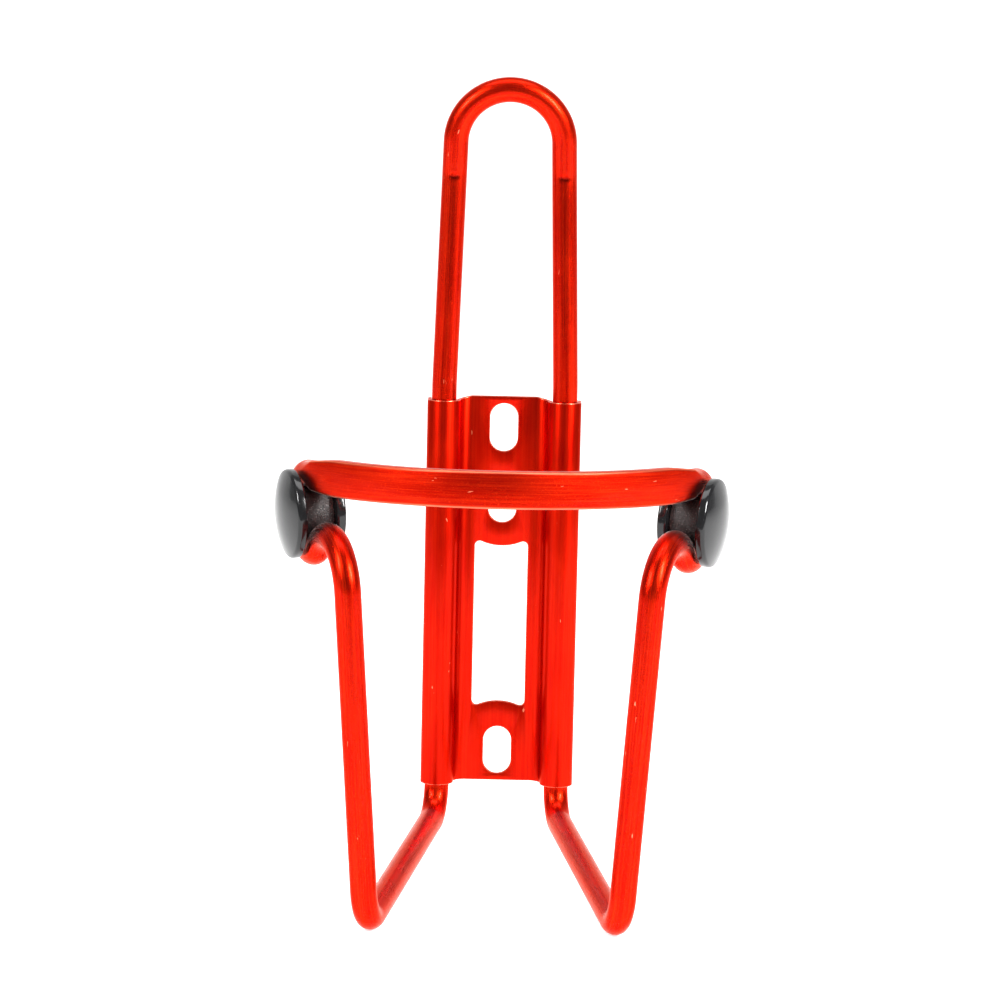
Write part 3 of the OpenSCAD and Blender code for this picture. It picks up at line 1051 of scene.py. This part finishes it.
def lathe(name, profile, place, grained, turns=96):
    """Turns a profile about the spool's axis; the rows in grained get the second material."""
    work = bmesh.new()
    rows = []
    for r, z in profile:
        if r < 1e-7:
            rows.append([work.verts.new(place @ Vector((0, 0, z)))])
            continue
        row = []
        for i in range(turns):
            a = 2 * math.pi * i / turns
            row.append(work.verts.new(place @ Vector((r * math.cos(a), r * math.sin(a), z))))
        rows.append(row)
    for n, (a, b) in enumerate(zip(rows, rows[1:])):
        for i in range(turns):
            j = (i + 1) % turns
            if len(a) == 1:
                face = work.faces.new((a[0], b[i], b[j]))
            elif len(b) == 1:
                face = work.faces.new((a[i], b[0], a[j]))
            else:
                face = work.faces.new((a[i], b[i], b[j], a[j]))
            face.material_index = int(n in grained)
    mesh = close(work, bpy.data.meshes.new(name))
    mesh.materials.append(material("spool_gloss"))
    mesh.materials.append(material("spool_grain"))
    shade(mesh, 40.0)
    return add_object(name, mesh)


# ---- operators


class CAGE_OT_back_plate(bpy.types.Operator):
    """Folds the mounting plate with its slots, window and channels"""

    bl_idname = "cage.back_plate"
    bl_label = "Back Plate"

    def execute(self, context):
        plate, rod = context.scene.cage_plate, context.scene.cage_rod
        obj = add_object("plate_draft", plate_mesh(plate, rod))
        obj.data.materials.append(material("red_rolled_sheet"))
        obj.data.materials.append(material("cut_edge_and_highlight"))
        thick = obj.modifiers.new("sheet", "SOLIDIFY")
        thick.thickness = plate.sheet
        thick.offset = 0.0
        thick.use_even_offset = True
        soft = obj.modifiers.new("cut edges", "BEVEL")
        soft.width = plate.edge
        soft.segments = 2
        soft.limit_method = "ANGLE"
        soft.angle_limit = math.radians(50)
        # The bevels take the paler edge material: partly bare metal, partly a painted highlight
        soft.material = 1
        piece = settle(obj, "plate")
        shade(piece.data, 40.0)
        finish_piece(piece, "back_plate")
        return {"FINISHED"}


class CAGE_OT_upper_loop(bpy.types.Operator):
    """Bends the upper loop with its two press marks"""

    bl_idname = "cage.upper_loop"
    bl_label = "Upper Loop"

    def execute(self, context):
        rod = context.scene.cage_rod
        wire, mark = upper_wire(rod)
        piece = sweep("loop_rod", wire, Vector((0, -1, 0)), rod, mark)
        finish_piece(piece, "upper_loop")
        return {"FINISHED"}


class CAGE_OT_cage_rod(bpy.types.Operator):
    """Bends the lower rod: base, legs, hooks and the flattened grip ring"""

    bl_idname = "cage.cage_rod"
    bl_label = "Cage Rod"

    def execute(self, context):
        rod, spool = context.scene.cage_rod, context.scene.cage_spool
        wire = lower_wire(rod, spool)
        ahead = ring_frame(rod)[1]
        piece = sweep("grip_rod", wire, ahead, rod)
        finish_piece(piece, "cage_rod")
        return {"FINISHED"}


class CAGE_OT_spools(bpy.types.Operator):
    """Moulds the two plastic spools, each an outer cap and an inner button"""

    bl_idname = "cage.spools"
    bl_label = "Spools"

    def execute(self, context):
        rod, spool = context.scene.cage_rod, context.scene.cage_spool
        hub, rise, run, axis, rho = right_spool(rod, spool)
        for hand, sign in (("right", 1), ("left", -1)):
            flip = Vector((sign, 1, 1))
            z = axis * flip
            x = run * flip
            y = z.cross(x)
            place = Matrix((x, y, z)).transposed().to_4x4()
            place.translation = hub * flip
            for part, node, shape in (
                ("_outer_disc", "_cap", cap_profile),
                ("_inner_disc", "_button", button_profile),
            ):
                profile, grained = shape(spool)
                piece = lathe(hand + part, profile, place, grained)
                finish_piece(piece, hand + node)
        return {"FINISHED"}


class CAGE_OT_stage(bpy.types.Operator):
    """Lays the floor and sets the lights and the camera"""

    bl_idname = "cage.stage"
    bl_label = "Stage"

    def execute(self, context):
        scene = context.scene
        lay_floor(CAD_BOX[0].z)
        light("key_light", (0.82, -0.72, 0.66), 0.20, 0.50, 25.0)
        light("fill_light", (-0.84, -0.70, 0.68), 0.18, 0.45, 12.0)
        light("top_light", (0.0, -0.05, 1.0), 0.9, 0.4, 5.0)
        world = bpy.data.worlds.new("studio")
        world.use_nodes = True
        sky = world.node_tree.nodes["Background"].inputs
        sky["Color"].default_value = (1, 1, 1, 1)
        sky["Strength"].default_value = 0.40
        scene.world = world
        scene.view_settings.view_transform = "Standard"
        scene.view_settings.look = "None"
        set_camera(scene)
        return {"FINISHED"}


def lay_floor(height):
    """A pale floor that curves up into a wall behind the object."""
    front, bend, radius, back_top, half_width = -0.42, 1.6, 0.8, 4.0, 4.0
    rows = [(front, 0.0)]
    rows += arc_points(bend, radius, radius, -math.pi / 2, 0, 16)
    rows.append((bend + radius, back_top))
    mesh = bpy.data.meshes.new("floor")
    verts = [(x, y, z + height) for y, z in rows for x in (-half_width, half_width)]
    faces = [(2 * i, 2 * i + 1, 2 * i + 3, 2 * i + 2) for i in range(len(rows) - 1)]
    mesh.from_pydata(verts, [], faces)
    mesh.materials.append(material("studio_floor"))
    shade(mesh, 60.0)
    add_object("floor", mesh)


def light(name, place, width, height, power):
    """A soft box that faces the middle of the cage."""
    data = bpy.data.lights.new(name, "AREA")
    data.shape = "RECTANGLE"
    data.size, data.size_y = width, height
    data.energy = power
    obj = bpy.data.objects.new(name, data)
    obj.location = place
    aim = (CAD_BOX[0] + CAD_BOX[1]) / 2 - Vector(place)
    obj.rotation_euler = aim.to_track_quat("-Z", "Y").to_euler()
    bpy.context.scene.collection.objects.link(obj)


def set_camera(scene):
    """The camera, from its place, turn and lens."""
    c = scene.cage_camera
    level = Vector((math.sin(c.yaw), math.cos(c.yaw), 0))
    ahead = level * math.cos(c.pitch) - Vector((0, 0, math.sin(c.pitch)))
    right = Vector((math.cos(c.yaw), -math.sin(c.yaw), 0))
    up = right.cross(ahead)
    x = right * math.cos(c.roll) + up * math.sin(c.roll)
    y = -right * math.sin(c.roll) + up * math.cos(c.roll)
    data = bpy.data.cameras.new("camera")
    data.sensor_width = 36.0
    data.lens = c.lens
    data.shift_y = c.shift
    data.clip_start, data.clip_end = 0.01, 50.0
    obj = bpy.data.objects.new("camera", data)
    turn = Matrix((x, y, -ahead)).transposed().to_4x4()
    turn.translation = Vector(c.place)
    obj.matrix_world = turn
    scene.collection.objects.link(obj)
    scene.camera = obj


# ---- panel and registration


class CAGE_PT_build(bpy.types.Panel):
    """Lists the pieces of the bottle cage"""

    bl_label = "Bottle Cage"
    bl_idname = "CAGE_PT_build"
    bl_space_type = "VIEW_3D"
    bl_region_type = "UI"
    bl_category = "Bottle Cage"

    def draw(self, context):
        layout = self.layout
        for operator in OPERATORS:
            layout.operator(operator.bl_idname)
        for holder in (context.scene.cage_plate, context.scene.cage_rod, context.scene.cage_spool):
            box = layout.box()
            for key in holder.__annotations__:
                box.prop(holder, key)


OPERATORS = (
    CAGE_OT_back_plate,
    CAGE_OT_upper_loop,
    CAGE_OT_cage_rod,
    CAGE_OT_spools,
    CAGE_OT_stage,
)
SETTINGS = {
    "cage_plate": PlateSizes,
    "cage_rod": RodSizes,
    "cage_spool": SpoolSizes,
    "cage_finishes": Finishes,
    "cage_camera": CameraSettings,
}


def register():
    for group in SETTINGS.values():
        bpy.utils.register_class(group)
    for operator in OPERATORS:
        bpy.utils.register_class(operator)
    bpy.utils.register_class(CAGE_PT_build)
    for key, group in SETTINGS.items():
        setattr(bpy.types.Scene, key, PointerProperty(type=group))


def unregister():
    for key in SETTINGS:
        delattr(bpy.types.Scene, key)
    bpy.utils.unregister_class(CAGE_PT_build)
    for operator in reversed(OPERATORS):
        bpy.utils.unregister_class(operator)
    for group in reversed(list(SETTINGS.values())):
        bpy.utils.unregister_class(group)


def main():
    register()
    bpy.ops.cage.back_plate()
    bpy.ops.cage.upper_loop()
    bpy.ops.cage.cage_rod()
    bpy.ops.cage.spools()
    bpy.ops.cage.stage()


if __name__ == "__main__":
    main()
